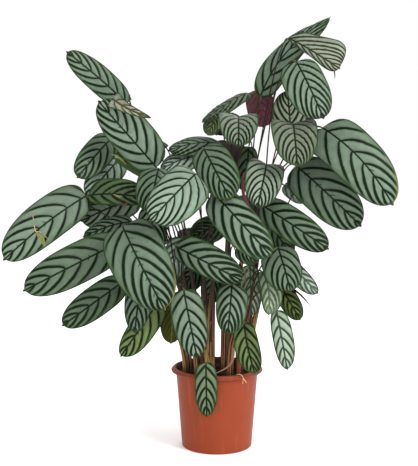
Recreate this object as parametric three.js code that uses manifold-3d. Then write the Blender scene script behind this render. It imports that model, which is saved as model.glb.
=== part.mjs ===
// A potted compactstar calathea: a nursery pot filled with soil, and the leafy stems that stand in it.
// Millimetres. The origin is the middle of the pot's base, +Z is up and the front faces -Y.

import * as THREE from 'three';
import { mergeVertices } from 'three/addons/utils/BufferGeometryUtils.js';
import Module from 'manifold-3d';

const wasm = await Module();
wasm.setup();

// Pot
const POT_HEIGHT = 169;
const RIM_RADIUS = 96;
const RIM_DEPTH = 15;
const RIM_MOUTH = 89;
const NECK_RADIUS = 86;
const BASE_RADIUS = 73.5;
const BASE_ROUND = 2.5;
const POT_WALL = 2.2;
const POT_FLOOR = 3;
const POT_SIDES = 32;
const DRAIN_HOLES = 4;
const DRAIN_RADIUS = 6;
const DRAIN_CIRCLE = 46;
const DRAIN_SIDES = 6;

// The rolled rim's cross-section, as radii beside the height above the rim's lower edge
const RIM_ROLL = [
  [NECK_RADIUS + 4, 1],
  [RIM_RADIUS - 2, 4],
  [RIM_RADIUS, 8],
  [RIM_RADIUS - 1, 12],
  [RIM_RADIUS - 4, RIM_DEPTH],
  [RIM_MOUTH + 1, RIM_DEPTH - 0.5],
  [RIM_MOUTH - 1, RIM_DEPTH - 3],
];

// Soil
const SOIL_TOP = 157;
const SOIL_CROWN = 3;
const CROWN_SPREAD = 0.55;
const GAP = 0.3;
const HOLE_OVERRUN = 20;

// Sheathed stems
const STEM_DEPTH = 55;
const STEM_SIDES = 6;
const STEM_STEPS = 3;
const STEM_TOP_RADIUS = 3.4;
const STEM_COLLAR = 4;
const STEM_UPRIGHT = 0.4;
const STEM_LEAN = 0.25;

// Leaf stalks and blades
const FIRST_STALK = 0.94;
const NEXT_STALK = 0.09;
const STALK_RADIUS_LOW = 2.1;
const STALK_RADIUS_HIGH = 1.3;
const STALK_STEPS = 4;
const STALK_SHARE = 0.98;
const BLADE_THICKNESS = 0.8;
const OUTLINE_ROUND = 0.47;
const BLADE_NIB = 0.045;
const BLADE_NIB_WIDTH = 0.12;
const BLADE_FOOT_WIDTH = 0.035;
const ARCH_SKEW = 0.8;
const TWIST_START = 0.3;
const SLOPE_STEP = 0.01;
const EDGE_WAVES = 2;
const FINE_WIDTH = 64;
const FINE_BLADE = { across: 4, steps: 7 };
const PLAIN_BLADE = { across: 2, steps: 5 };

// What a leaf has where its own line says nothing else
const PLAIN_LEAF = {
  face: [0, -1, 0.1], // where the upper side looks
  arch: 0.1, // how far the midrib bows up, as a share of the length
  bend: 0, // how far it bows to the right-hand side, seen from the base to the tip
  fold: 0.1, // how far the two halves rise from the midrib
  dome: 0.28, // how far the margins curl down
  wave: 0.012, // how far the margins wave
  twist: 0, // how far the blade turns about its midrib, in radians
  uneven: 0, // how much wider the right-hand half is than the left-hand one
  lobe: 0.07, // how far the two halves reach back past the stalk
  widest: 0.47, // where the blade is widest, from 0 at its base to 1 at its tip
  shoulder: 3, // how full the blade's outline is below its widest place
  taper: 2.3, // how full it is above it
  climb: 0.4, // how long the stalk follows the stem's direction
  reach: 0.3, // how long the stalk follows the midrib's direction
  hidden: false, // a blade at the back or deep inside, with fewer facets
};

// Each leafy stem: where it stands in the soil, its top, and the blades that it carries
const STEMS = [
  {
    name: 'leafy_stem_01',
    root: [-28, 12],
    top: [-62, 15, 430],
    radius: 6.5,
    leaves: [
      { base: [-190, 60, 718], tip: [-308, 0, 824], width: 58, face: [0.1, -1, 0.3], arch: 0.06 },
      { base: [-124, -30, 589], tip: [-238, -60, 723], width: 86, uneven: 0.12 },
      {
        base: [-208, -62, 738], tip: [-131, -88, 689], width: 34, fold: 0.6,
        widest: 0.25, taper: 0.8, reach: 0.08,
      },
      { base: [-219, 60, 649], tip: [-286, -30, 567], width: 64 },
      { base: [-120, 90, 640], tip: [-220, 200, 590], width: 78, face: [-0.4, 1, 0.8], hidden: true },
    ],
  },
  {
    name: 'leafy_stem_02',
    root: [-40, -10],
    top: [-85, 0, 380],
    radius: 6,
    leaves: [
      { base: [-207, 85, 602], tip: [-269, 0, 526], width: 64 },
      { base: [-264, -25, 530], tip: [-138, -38, 526], width: 78, face: [0, -1, 0.6], hidden: true },
      { base: [-270, -15, 529], tip: [-430, -80, 404], width: 80, uneven: 0.05, bend: 0.02, lobe: 0.12 },
      { base: [-186, 36, 513], tip: [-286, 24, 473], width: 70, face: [-0.1, -1, 0.35], hidden: true },
    ],
  },
  {
    name: 'leafy_stem_03',
    root: [-58, 18],
    top: [-95, 20, 320],
    radius: 6,
    leaves: [
      { base: [-197, -60, 439], tip: [-388, -100, 345], width: 82 },
      { base: [-206, -8, 462], tip: [-276, -24, 445], width: 44, face: [-0.2, -0.8, 0.6] },
      { base: [-190, -60, 359], tip: [-310, -110, 276], width: 63 },
      { base: [-200, 60, 430], tip: [-330, 150, 350], width: 76, face: [-0.4, 1, 0.8], hidden: true },
      { base: [-250, 85, 520], tip: [-390, 145, 430], width: 78, face: [-0.4, 1, 0.8], hidden: true },
    ],
  },
  {
    name: 'leafy_stem_04',
    root: [-42, -38],
    top: [-78, -62, 350],
    radius: 6,
    leaves: [
      { base: [-182, -170, 482], tip: [-100, -215, 327], width: 114, arch: 0.14, lobe: 0.16, widest: 0.42 },
      { base: [-118, -62, 588], tip: [-131, -150, 506], width: 82, uneven: -0.1 },
      { base: [-66, -150, 355], tip: [-40, -130, 216], width: 68, widest: 0.4 },
      { base: [-72, -28, 443], tip: [-102, -32, 353], width: 54, arch: 0.04 },
    ],
  },
  {
    name: 'leafy_stem_05',
    root: [-66, -22],
    top: [-88, -42, 290],
    radius: 5,
    leaves: [
      { base: [-150, -100, 385], tip: [-162, -150, 270], width: 54 },
      { base: [-116, -90, 325], tip: [-193, -120, 216], width: 55, uneven: -0.15 },
      { base: [-93, -40, 318], tip: [-95, -50, 227], width: 50, face: [0.2, 1, 0.3] },
    ],
  },
  {
    name: 'leafy_stem_06',
    root: [-20, -25],
    top: [-30, -50, 430],
    radius: 8,
    leaves: [
      { base: [-42, -155, 582], tip: [-126, -240, 499], width: 92, arch: 0.14, lobe: 0.15, uneven: -0.12 },
      { base: [-82, -130, 439], tip: [49, -170, 376], width: 63, uneven: -0.15 },
      { base: [10, 30, 632], tip: [-101, 0, 622], width: 68, face: [-0.1, -0.6, 0.9], hidden: true },
      { base: [-35, 12, 610], tip: [-118, 0, 582], width: 60, face: [0, -0.8, 0.8], climb: 0.2 },
    ],
  },
  {
    name: 'leafy_stem_07',
    root: [-13, -48],
    top: [-8, -60, 420],
    radius: 9,
    leaves: [
      { base: [-28, -80, 629], tip: [25, -160, 532], width: 78, uneven: -0.1, lobe: 0.14 },
      { base: [-7, -120, 542], tip: [103, -195, 426], width: 78 },
      { base: [-23, -106, 201], tip: [-21, -110, 90], width: 46, face: [0, -1, 0], from: 0.35 },
    ],
  },
  {
    name: 'leafy_stem_08',
    root: [14, 5],
    top: [22, 10, 520],
    radius: 6.5,
    leaves: [
      { base: [64, 30, 740], tip: [-31, 0, 680], width: 62, face: [-0.6, -0.5, 1], arch: 0.04 },
      { base: [0, 60, 700], tip: [-19, 40, 652], width: 38 },
      { base: [43, -20, 691], tip: [41, -110, 632], width: 80, fold: 0.45, lobe: 0.2, widest: 0.36 },
      { base: [86, 68, 748], tip: [103, 145, 668], width: 60, face: [0, 1, 0.6] },
    ],
  },
  {
    name: 'leafy_stem_09',
    root: [26, -55],
    top: [38, -75, 300],
    radius: 7,
    leaves: [
      { base: [29, -105, 360], tip: [20, -150, 266], width: 63, uneven: -0.1, widest: 0.4 },
      { base: [54, -95, 279], tip: [76, -95, 176], width: 52, fold: 0.5, face: [-0.3, -1, 0.1] },
      { base: [39, -120, 436], tip: [80, -125, 406], width: 38 },
      { base: [90, -80, 382], tip: [101, -121, 300], width: 46, uneven: -0.3, bend: -0.05 },
    ],
  },
  {
    name: 'leafy_stem_10',
    root: [48, -32],
    top: [75, -30, 360],
    radius: 6,
    leaves: [
      { base: [106, -40, 504], tip: [221, -110, 430], width: 62 },
      { base: [122, -70, 430], tip: [143, -150, 352], width: 77, uneven: 0.1 },
      { base: [140, -40, 400], tip: [203, -90, 338], width: 38, uneven: 0.2 },
      { base: [130, -30, 345], tip: [170, -60, 278], width: 42 },
    ],
  },
  {
    name: 'leafy_stem_11',
    root: [28, 18],
    top: [70, 25, 540],
    radius: 6.5,
    leaves: [
      { base: [92, 42, 735], tip: [235, 32, 897], width: 66, face: [-0.5, -1, 0.3], bend: -0.05, twist: -1 },
      { base: [158, -40, 801], tip: [209, -100, 687], width: 84, uneven: 0.1, lobe: 0.13 },
      {
        base: [144, -8, 850], tip: [269, -48, 792], width: 48, fold: 0.3,
        widest: 0.66, shoulder: 1, climb: 0.12, reach: 0.12,
      },
      { base: [153, 20, 655], tip: [146, 30, 747], width: 70, widest: 0.4 },
    ],
  },
  {
    name: 'leafy_stem_12',
    root: [45, 0],
    top: [85, 0, 480],
    radius: 6.5,
    leaves: [
      { base: [152, -45, 677], tip: [154, -140, 594], width: 92, fold: 0.45, lobe: 0.2, widest: 0.36 },
      { base: [214, -30, 669], tip: [352, -80, 515], width: 92, bend: -0.05, lobe: 0.12 },
      { base: [99, -50, 596], tip: [77, -140, 515], width: 76, fold: 0.4, lobe: 0.2, widest: 0.4 },
      { base: [68, -16, 385], tip: [72, -16, 278], width: 44, arch: 0.02, from: 0.5 },
    ],
  },
  {
    name: 'leafy_stem_13',
    root: [68, 8],
    top: [105, 20, 400],
    radius: 6,
    leaves: [
      { base: [165, 20, 590], tip: [298, -15, 466], width: 98, uneven: 0.05 },
      { base: [118, -100, 305], tip: [141, -100, 184], width: 42, uneven: -0.15, from: 0.5 },
      { base: [142, 45, 548], tip: [188, 45, 512], width: 34 },
      { base: [190, 70, 560], tip: [300, 180, 480], width: 78, face: [0.4, 1, 0.8], hidden: true },
      { base: [120, 80, 410], tip: [170, 220, 330], width: 76, face: [0.2, 1, 0.8], hidden: true },
    ],
  },
  {
    name: 'leafy_stem_14',
    root: [-45, 48],
    top: [-80, 70, 420],
    radius: 6,
    leaves: [
      { base: [-120, 90, 430], tip: [-200, 220, 370], width: 80, face: [-0.3, 1, 0.9], hidden: true },
      { base: [-110, 80, 370], tip: [-170, 200, 290], width: 72, face: [-0.3, 1, 0.9], hidden: true },
      { base: [-190, 108, 740], tip: [-270, 185, 770], width: 68, face: [-0.3, 1, 0.9], hidden: true },
      { base: [-140, 64, 501], tip: [-134, 60, 401], width: 62, arch: 0.04, hidden: true },
    ],
  },
  {
    name: 'leafy_stem_15',
    root: [-15, 40],
    top: [-30, 75, 450],
    radius: 7,
    leaves: [
      { base: [-60, 110, 560], tip: [-110, 250, 500], width: 84, face: [-0.2, 1, 0.9], hidden: true },
      { base: [-50, 100, 450], tip: [-40, 250, 370], width: 82, face: [0, 1, 0.9], hidden: true },
      { base: [-25, 66, 394], tip: [-80, 82, 313], width: 60 },
      { base: [-4, 32, 390], tip: [-19, 34, 287], width: 44 },
    ],
  },
  {
    name: 'leafy_stem_16',
    root: [20, 48],
    top: [28, 75, 480],
    radius: 7,
    leaves: [
      { base: [20, 100, 640], tip: [20, 240, 570], width: 86, face: [0, 1, 0.9], hidden: true },
      { base: [50, 110, 520], tip: [70, 270, 430], width: 84, face: [0, 1, 0.9], hidden: true },
      { base: [30, 90, 360], tip: [40, 210, 270], width: 72, face: [0, 1, 0.9], hidden: true },
      { base: [30, 95, 700], tip: [0, 195, 650], width: 70, face: [0, 1, 0.9], reach: 0.08, hidden: true },
      { base: [13, 38, 466], tip: [-56, 22, 438], width: 60, face: [0, -1, 0.4] },
    ],
  },
  {
    name: 'leafy_stem_17',
    root: [46, 42],
    top: [80, 60, 460],
    radius: 6,
    leaves: [
      { base: [120, 80, 480], tip: [230, 200, 440], width: 78, face: [0.3, 1, 0.9], hidden: true },
      { base: [85, 90, 590], tip: [110, 230, 520], width: 80, face: [0.2, 1, 0.9], hidden: true },
      { base: [82, 60, 632], tip: [20, 54, 574], width: 70, arch: 0.02, hidden: true },
      { base: [95, 25, 488], tip: [157, 5, 402], width: 56 },
    ],
  },
  {
    name: 'leafy_stem_18',
    root: [66, 32],
    top: [100, 60, 520],
    radius: 5.5,
    leaves: [
      { base: [230, 88, 640], tip: [340, 180, 560], width: 80, face: [0.4, 1, 0.9], hidden: true },
      { base: [160, 70, 790], tip: [235, 130, 720], width: 76, face: [0.4, 1, 0.9], hidden: true },
      { base: [158, 98, 700], tip: [205, 215, 620], width: 80, face: [0.3, 1, 0.9], hidden: true },
    ],
  },
];

const COLOURS = {
  pot: '#b1563c',
  soil: '#2c2019',
  leaf: '#5f7f63',
};

const vector = (numbers) => new THREE.Vector3(...numbers);
const mix = THREE.MathUtils.lerp;

// A solid from a list of rings with the same number of points, closed by a strip at each end
function loft(rings) {
  const count = rings[0].length;
  const triangles = [];
  for (let i = 0; i + 1 < rings.length; i++) {
    for (let j = 0; j < count; j++) {
      const next = (j + 1) % count;
      const a = i * count + j;
      const b = i * count + next;
      triangles.push([a, b, b + count], [a, b + count, a + count]);
    }
  }
  const last = (rings.length - 1) * count;
  for (let j = 0; j < count / 2 - 1; j++) {
    const far = count - 1 - j;
    triangles.push([j, far, far - 1], [j, far - 1, j + 1]);
    triangles.push([last + j, last + far - 1, last + far], [last + j, last + j + 1, last + far - 1]);
  }
  return solidFromTriangles(rings.flat(), triangles);
}

function solidFromTriangles(points, triangles) {
  let volume = 0;
  for (const [a, b, c] of triangles) {
    volume += points[a].dot(new THREE.Vector3().crossVectors(points[b], points[c]));
  }
  const outward = volume > 0 ? triangles : triangles.map(([a, b, c]) => [a, c, b]);
  const mesh = new wasm.Mesh({
    numProp: 3,
    vertProperties: new Float32Array(points.flatMap((point) => point.toArray())),
    triVerts: new Uint32Array(outward.flat()),
  });
  mesh.merge();
  return new wasm.Manifold(mesh);
}

function solidFromGeometry(geometry) {
  const plain = geometry.clone();
  plain.deleteAttribute('normal');
  plain.deleteAttribute('uv');
  const merged = mergeVertices(plain, 1e-4);
  return new wasm.Manifold(new wasm.Mesh({
    numProp: 3,
    vertProperties: new Float32Array(merged.attributes.position.array),
    triVerts: new Uint32Array(merged.index.array),
  }));
}

function geometryFromSolid(solid) {
  const { vertProperties, triVerts } = solid.getMesh();
  const geometry = new THREE.BufferGeometry();
  geometry.setAttribute('position', new THREE.BufferAttribute(vertProperties, 3));
  geometry.setIndex(new THREE.BufferAttribute(triVerts, 1));
  geometry.computeVertexNormals();
  return geometry;
}

// An upright round bar, for the drain holes and the holes that the stems stand in
function uprightBar(x, y, low, high, radius, sides) {
  const geometry = new THREE.CylinderGeometry(radius, radius, high - low, sides);
  geometry.rotateX(Math.PI / 2);
  geometry.translate(x, y, (low + high) / 2);
  return solidFromGeometry(geometry);
}

function turned(profile) {
  const geometry = new THREE.LatheGeometry(profile.map(([r, z]) => new THREE.Vector2(r, z)), POT_SIDES);
  geometry.rotateX(Math.PI / 2);
  return solidFromGeometry(geometry);
}

const rimLow = POT_HEIGHT - RIM_DEPTH;
const insideNeck = NECK_RADIUS - POT_WALL;
const insideBase = BASE_RADIUS - POT_WALL;

function potSolid() {
  const profile = [
    [0, 0],
    [BASE_RADIUS - BASE_ROUND, 0],
    [BASE_RADIUS, BASE_ROUND],
    [NECK_RADIUS, rimLow],
    ...RIM_ROLL.map(([radius, height]) => [radius, rimLow + height]),
    [insideNeck, rimLow],
    [insideBase, POT_FLOOR],
    [0, POT_FLOOR],
  ];
  let pot = turned(profile);
  for (let i = 0; i < DRAIN_HOLES; i++) {
    const angle = (i + 0.5) * (2 * Math.PI / DRAIN_HOLES);
    const x = DRAIN_CIRCLE * Math.cos(angle);
    const y = DRAIN_CIRCLE * Math.sin(angle);
    pot = pot.subtract(uprightBar(x, y, -1, POT_FLOOR + 1, DRAIN_RADIUS, DRAIN_SIDES));
  }
  return pot;
}

function soilSolid() {
  const wallSlope = (insideNeck - insideBase) / (rimLow - POT_FLOOR);
  const low = POT_FLOOR + GAP;
  const clearOfWall = (z) => insideBase + wallSlope * (z - POT_FLOOR) - 2 * GAP;
  let soil = turned([
    [0, low],
    [clearOfWall(low), low],
    [clearOfWall(rimLow), rimLow],
    [clearOfWall(rimLow), SOIL_TOP],
    [clearOfWall(rimLow) * CROWN_SPREAD, SOIL_TOP + SOIL_CROWN],
    [0, SOIL_TOP + SOIL_CROWN],
  ]);
  for (const stem of STEMS) {
    const floor = SOIL_TOP - STEM_DEPTH - GAP;
    soil = soil.subtract(
      uprightBar(...stem.root, floor, SOIL_TOP + HOLE_OVERRUN, stem.radius + 2 * GAP, STEM_SIDES),
    );
  }
  return soil;
}

// The stem's line above the soil, which starts upright and leans out to its top
function stemLine(stem) {
  const start = vector([...stem.root, SOIL_TOP + SOIL_CROWN + STEM_COLLAR]);
  const top = vector(stem.top);
  const rise = top.z - start.z;
  return new THREE.CubicBezierCurve3(
    start,
    start.clone().add(new THREE.Vector3(0, 0, rise * STEM_UPRIGHT)),
    top.clone().sub(new THREE.Vector3(0, 0, rise * STEM_LEAN)),
    top,
  );
}

function stemSolid(stem) {
  const line = stemLine(stem);
  const ring = (centre, radius) => Array.from({ length: STEM_SIDES }, (_, j) => {
    const angle = 2 * Math.PI * j / STEM_SIDES;
    return centre.clone().add(new THREE.Vector3(Math.sin(angle), Math.cos(angle), 0).multiplyScalar(radius));
  });
  const foot = vector([...stem.root, SOIL_TOP - STEM_DEPTH]);
  const rings = [ring(foot, stem.radius)];
  for (let i = 0; i <= STEM_STEPS; i++) {
    const share = i / STEM_STEPS;
    rings.push(ring(line.getPoint(share), mix(stem.radius, STEM_TOP_RADIUS, share)));
  }
  return loft(rings);
}

// Half the blade's width at a place along it, from 0 at its foot to 1 at its tip, as a share of the greatest
function outline(leaf, along) {
  const { widest } = leaf;
  const toBase = Math.max(0, (widest - along) / widest);
  const toTip = Math.min(1, Math.max(0, (along - widest) / (1 - BLADE_NIB / 2 - widest)));
  const body = ((1 - toBase ** leaf.shoulder) * (1 - toTip ** leaf.taper)) ** OUTLINE_ROUND;
  const nib = BLADE_NIB_WIDTH * Math.min(1, (1 - along) / BLADE_NIB);
  return Math.max(body, nib, BLADE_FOOT_WIDTH * (1 - along));
}

function bladeAxes(leaf) {
  const base = vector(leaf.base);
  const chord = vector(leaf.tip).sub(base);
  const length = chord.length();
  const ahead = chord.clone().normalize();
  const up = vector(leaf.face);
  up.addScaledVector(ahead, -up.dot(ahead)).normalize();
  const side = new THREE.Vector3().crossVectors(ahead, up);
  return { base, chord, length, up, side };
}

function midribPoint(leaf, axes, along) {
  const rise = leaf.arch * axes.length * Math.sin(Math.PI * along ** ARCH_SKEW);
  const sway = leaf.bend * axes.length * Math.sin(Math.PI * along);
  return axes.base.clone()
    .addScaledVector(axes.chord, along)
    .addScaledVector(axes.up, rise)
    .addScaledVector(axes.side, sway);
}

function bladeFrame(leaf, axes, along) {
  const before = midribPoint(leaf, axes, Math.max(0, along - SLOPE_STEP));
  const after = midribPoint(leaf, axes, Math.min(1, along + SLOPE_STEP));
  const ahead = after.sub(before).normalize();
  const level = axes.up.clone().addScaledVector(ahead, -axes.up.dot(ahead)).normalize();
  const turn = leaf.twist * (along - TWIST_START);
  const up = level.applyAxisAngle(ahead, turn);
  const side = new THREE.Vector3().crossVectors(ahead, up);
  return { at: midribPoint(leaf, axes, along), ahead, up, side };
}

function bladeRing(leaf, axes, along, across) {
  const { at, ahead, up, side } = bladeFrame(leaf, axes, along);
  const share = outline(leaf, along);
  const half = leaf.width / 2 * share;
  const lobe = leaf.lobe * axes.length * share * (1 - along) ** 2;
  const lift = (v) => {
    const section = half * (leaf.fold * Math.abs(v) - leaf.dome * v * v);
    return section + leaf.wave * leaf.width * v * v * Math.sin(2 * Math.PI * EDGE_WAVES * along + v);
  };
  const row = (offset) => Array.from({ length: across + 1 }, (_, j) => {
    const v = 2 * j / across - 1;
    return at.clone()
      .addScaledVector(side, half * v * (1 + leaf.uneven * Math.sign(v)))
      .addScaledVector(ahead, -lobe * v * v)
      .addScaledVector(up, lift(v) + offset);
  });
  return [...row(BLADE_THICKNESS / 2), ...row(-BLADE_THICKNESS / 2).reverse()];
}

// A stalk's ring has as many points as its blade's, so one loft runs from the stem to the blade's tip
function stalkRing(centre, frame, radius, across) {
  const ring = [];
  const count = 2 * (across + 1);
  for (let j = 0; j < count; j++) {
    const angle = Math.PI - (j + 0.5) * 2 * Math.PI / count;
    ring.push(centre.clone()
      .addScaledVector(frame.side, radius * Math.cos(angle))
      .addScaledVector(frame.up, radius * Math.sin(angle)));
  }
  return ring;
}

function stalkLine(stem, leaf, foot) {
  const line = stemLine(stem);
  const start = line.getPoint(leaf.from);
  const end = foot.at.clone();
  const distance = start.distanceTo(end);
  return new THREE.CubicBezierCurve3(
    start,
    start.clone().addScaledVector(line.getTangent(leaf.from), distance * leaf.climb),
    end.clone().addScaledVector(foot.ahead, -distance * leaf.reach),
    end,
  );
}

// The stalks leave the stem one below another, unless a leaf says where its own leaves
function wholeLeaf(stem, index) {
  return { ...PLAIN_LEAF, from: FIRST_STALK - NEXT_STALK * index, ...stem.leaves[index] };
}

function leafSolid(stem, index) {
  const leaf = wholeLeaf(stem, index);
  const { across, steps } = leaf.hidden || leaf.width < FINE_WIDTH ? PLAIN_BLADE : FINE_BLADE;
  const axes = bladeAxes(leaf);
  const foot = bladeFrame(leaf, axes, 0);
  const line = stalkLine(stem, leaf, foot);
  const rings = [];
  let side = foot.side.clone();
  for (let i = STALK_STEPS; i >= 0; i--) {
    const share = STALK_SHARE * i / STALK_STEPS;
    const ahead = line.getTangent(share);
    side.addScaledVector(ahead, -side.dot(ahead)).normalize();
    const up = new THREE.Vector3().crossVectors(side, ahead);
    const radius = mix(STALK_RADIUS_LOW, STALK_RADIUS_HIGH, share);
    rings.unshift(stalkRing(line.getPoint(share), { side: side.clone(), up }, radius, across));
  }
  for (let i = 0; i <= steps; i++) {
    const along = 0.5 - 0.5 * Math.cos(Math.PI * i / steps);
    rings.push(bladeRing(leaf, axes, along, across));
  }
  return loft(rings);
}

function leafyStemSolid(stem) {
  return wasm.Manifold.union([stemSolid(stem), ...stem.leaves.map((leaf, index) => leafSolid(stem, index))]);
}

function namedMesh(name, solid, material) {
  const mesh = new THREE.Mesh(geometryFromSolid(solid), material);
  mesh.name = name;
  return mesh;
}

const plant = new THREE.Group();
const potMaterial = new THREE.MeshStandardMaterial({ color: COLOURS.pot, roughness: 0.45 });
const soilMaterial = new THREE.MeshStandardMaterial({ color: COLOURS.soil, roughness: 1 });
plant.add(namedMesh('pot', potSolid(), potMaterial));
plant.add(namedMesh('soil', soilSolid(), soilMaterial));
for (const stem of STEMS) {
  const material = new THREE.MeshStandardMaterial({ color: COLOURS.leaf, roughness: 0.5 });
  plant.add(namedMesh(stem.name, leafyStemSolid(stem), material));
}

export default plant;
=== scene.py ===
# Looks for a potted compactstar calathea: finer leaves, stems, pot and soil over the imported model
import math
import random

import bpy
import numpy as np
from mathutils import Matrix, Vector, noise


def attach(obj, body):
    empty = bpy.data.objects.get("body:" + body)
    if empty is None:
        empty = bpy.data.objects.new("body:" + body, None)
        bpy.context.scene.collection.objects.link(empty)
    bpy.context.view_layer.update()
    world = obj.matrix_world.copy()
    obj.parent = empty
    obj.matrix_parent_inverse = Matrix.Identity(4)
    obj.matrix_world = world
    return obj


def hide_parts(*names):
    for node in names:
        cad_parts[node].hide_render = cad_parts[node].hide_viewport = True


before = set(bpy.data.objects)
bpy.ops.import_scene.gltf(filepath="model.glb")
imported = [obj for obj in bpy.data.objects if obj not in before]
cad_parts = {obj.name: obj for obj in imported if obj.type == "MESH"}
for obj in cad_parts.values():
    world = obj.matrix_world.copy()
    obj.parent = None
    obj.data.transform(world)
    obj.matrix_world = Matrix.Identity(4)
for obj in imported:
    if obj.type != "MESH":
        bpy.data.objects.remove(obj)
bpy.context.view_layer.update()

# Sizes below are millimetres, and the finished meshes are scaled to metres
MM = 0.001
SEED = 11

# Pot
POT_HEIGHT = 169
RIM_RADIUS = 96
RIM_LOW = 159.5
RIM_MOUTH = 89
NECK_RADIUS = 86
BASE_RADIUS = 73.5
BASE_ROUND = 2.5
POT_WALL = 2.2
POT_FLOOR = 3
POT_SIDES = 112
DRAIN_HOLES = 4
DRAIN_RADIUS = 6
DRAIN_CIRCLE = 46
DRAIN_SIDES = 24
BEAD_ROUND = 3
LIP_ROUND = 5
SHARP_ANGLE = 38

# The pot's inside wall, darkened with painted shade, in metres: the radii that part it from the outside,
# and its heights
INSIDE_RIM = 87.6 * MM
INSIDE_FOOT = 68.15 * MM
INSIDE_SLOPE = 0.107
INSIDE_LOW = (142 * MM, 150 * MM)
INSIDE_HIGH = (161 * MM, 167 * MM)

# Soil
SOIL_TOP = 157
SOIL_EDGE = 82.5
SOIL_RINGS = 34
SOIL_SIDES = 96
SOIL_GAP = 0.6
SOIL_LIFT = 0.5
SOIL_HUB = 0.5
CRUMBS = 620
CRUMB_SIZES = (0.9, 3.1)
CRUMB_INSET = 4
CRUMB_FLATNESS = (0.5, 0.9)
CRUMB_UNEVENNESS = (0.7, 1.3)
CRUMB_LIFT = 0.3

# The soil's relief: its crown, and how close and high lumps and grains are, in which slice of noise
CROWN = 3
LUMPS = (0.06, 2.6, 3.1)
GRAINS = (0.3, 1.6, 7.7)

# Stems and stalks
STEM_START = 164
CORE_SHARE = 0.8
CORE_TOP = 2.04
CORE_END = 0.3
STEM_UPRIGHT = 0.4
STEM_LEAN = 0.25
BURIED = 14
FIRST_STALK = 0.94
NEXT_STALK = 0.09
SHEATH_SHARE = 0.62
SHEATH_OFFSET = 0.5
STALK_LOW = 1.9
STALK_HIGH = 1.2
KNEE_RADIUS = 1.8
KNEE_START = 0.93
KNEE_EASE = 0.05
TUBE_SIDES = 10
NO_ROUTE = (0.3, 1, 0.2)
LOW_STEPS = 16
HIGH_STEPS = 30
CORE_STEPS = 20
TANGENT_STEP = 0.02
THINNING = 0.6
FIRST_TURN = 0.35
KIND_STEP = 0.37
CORE_KIND = 0.8

# Where a stalk ends under the midrib: shares of the blade and of the stalk's radius, and the gap
HOLD_SHARES = (0.0, 0.03, 0.07)
HOLD_RADII = (1, 0.8, 0.45)
HOLD_GAP = 0.6

# Canes and stalks, in metres: where cane turns to stalk, and where the soil has stained the foot
CANE_TOP = (220 * MM, 360 * MM)
STAINED_FOOT = (160 * MM, 185 * MM)

# Dried strips
SCRAP_LIFT = 0.9
SCRAP_STEPS = 22
SCRAP_SMOOTHING = 3
SCRAP_SIDES = 8
SCRAP_SHARES = (0, 0.35, 0.6, 1)

# Blades
THICKNESS = 0.6
OUTLINE_ROUND = 0.47
NIB = 0.045
NIB_WIDTH = 0.12
NIB_END = 1.01
FOOT_WIDTH = 0.035
JOINING = 4
ARCH_SKEW = 0.8
DOME = 0.28
TWIST_START = 0.3
SLOPE_STEP = 0.01
EDGE_WAVES = 2
ROWS = 44
HALF_COLUMNS = (0, 0.05, 0.16, 0.3, 0.45, 0.6, 0.74, 0.86, 0.95, 1)
RELIEF = 1.7
RIPPLE = 0.5
RELIEF_START = (0.03, 0.3)
RELIEF_END = (0.75, 1)
RIB_DEPTH = 0.7
RIB_SPREAD = 1.4
GROOVE_SHARE = 0.6

# The stripes' lines start along the midrib, fan out at the base, and curve towards the tip
FAN_START = 0.75
FAN_GROWTH = 1
LINE_LEAN = 0.65
TIP_LEAN = 1.3
LINE_CURVE = 0.75
LINE_POWER = 2.3
TIP_NARROWING = 0.7
EVEN_SPACING = 0.95
SIDE_OFFSET = 0.15
SIDE_STEP = 0.08
VEINS = 7
VEIN_DEPTH = 0.3 * MM
THICKEST = 0.8
LEAST_AREA = 1e-6

# A stem's materials, and the places of its patches in the baked picture
TOP, UNDER, STALK, DRIED = range(4)
TOPS_LOW = 0.62
UNDERS_LOW = 0.24
CELL_GAP = 0.006
MARGIN = CELL_GAP * 0.6

# Texture maps hold these parts of a value, and a yellow rim is a step added to the brown share
PHASE_SCALE = 20
EDGE_SCALE = 100
RIM_STEP = 2

# What a leaf has where its own line says nothing else. Arch, bend and lobe are shares of its length and
# wave of its width, fold is the slope of its halves, and band about a stripe's width in millimetres
# Pale is how light a leaf's ground is. On leaves that sit in shade it is set above their own colour, as
# painted light
PLAIN_LEAF = dict(
    face=(0, -1, 0.1), arch=0.1, bend=0, fold=0.1, wave=0.012, twist=0, uneven=0,
    lobe=0.07, ear=0, widest=0.47, shoulder=3, taper=2.3, climb=0.4, reach=0.3,
    pale=0.35, yellow=0, tan=0, stripes=6.6, start=0.1, band=4.6, lean=1, brown=0.4, rim=0,
)


def leaf(base, tip, width, **own):
    """A leaf: where its blade starts and ends, its width, and what differs from the plain leaf"""
    return {**PLAIN_LEAF, "base": base, "tip": tip, "width": width, **own}


def leafy(number, root, top, radius, leaves):
    """A leafy stem: its place in the soil, its top, its radius and its leaves, one below another"""
    for index, own in enumerate(leaves):
        own.setdefault("leaves_at", FIRST_STALK - NEXT_STALK * index)
    node = f"leafy_stem_{number:02}"
    return dict(number=number, node=node, root=root, top=top, radius=radius, leaves=leaves)


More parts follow.
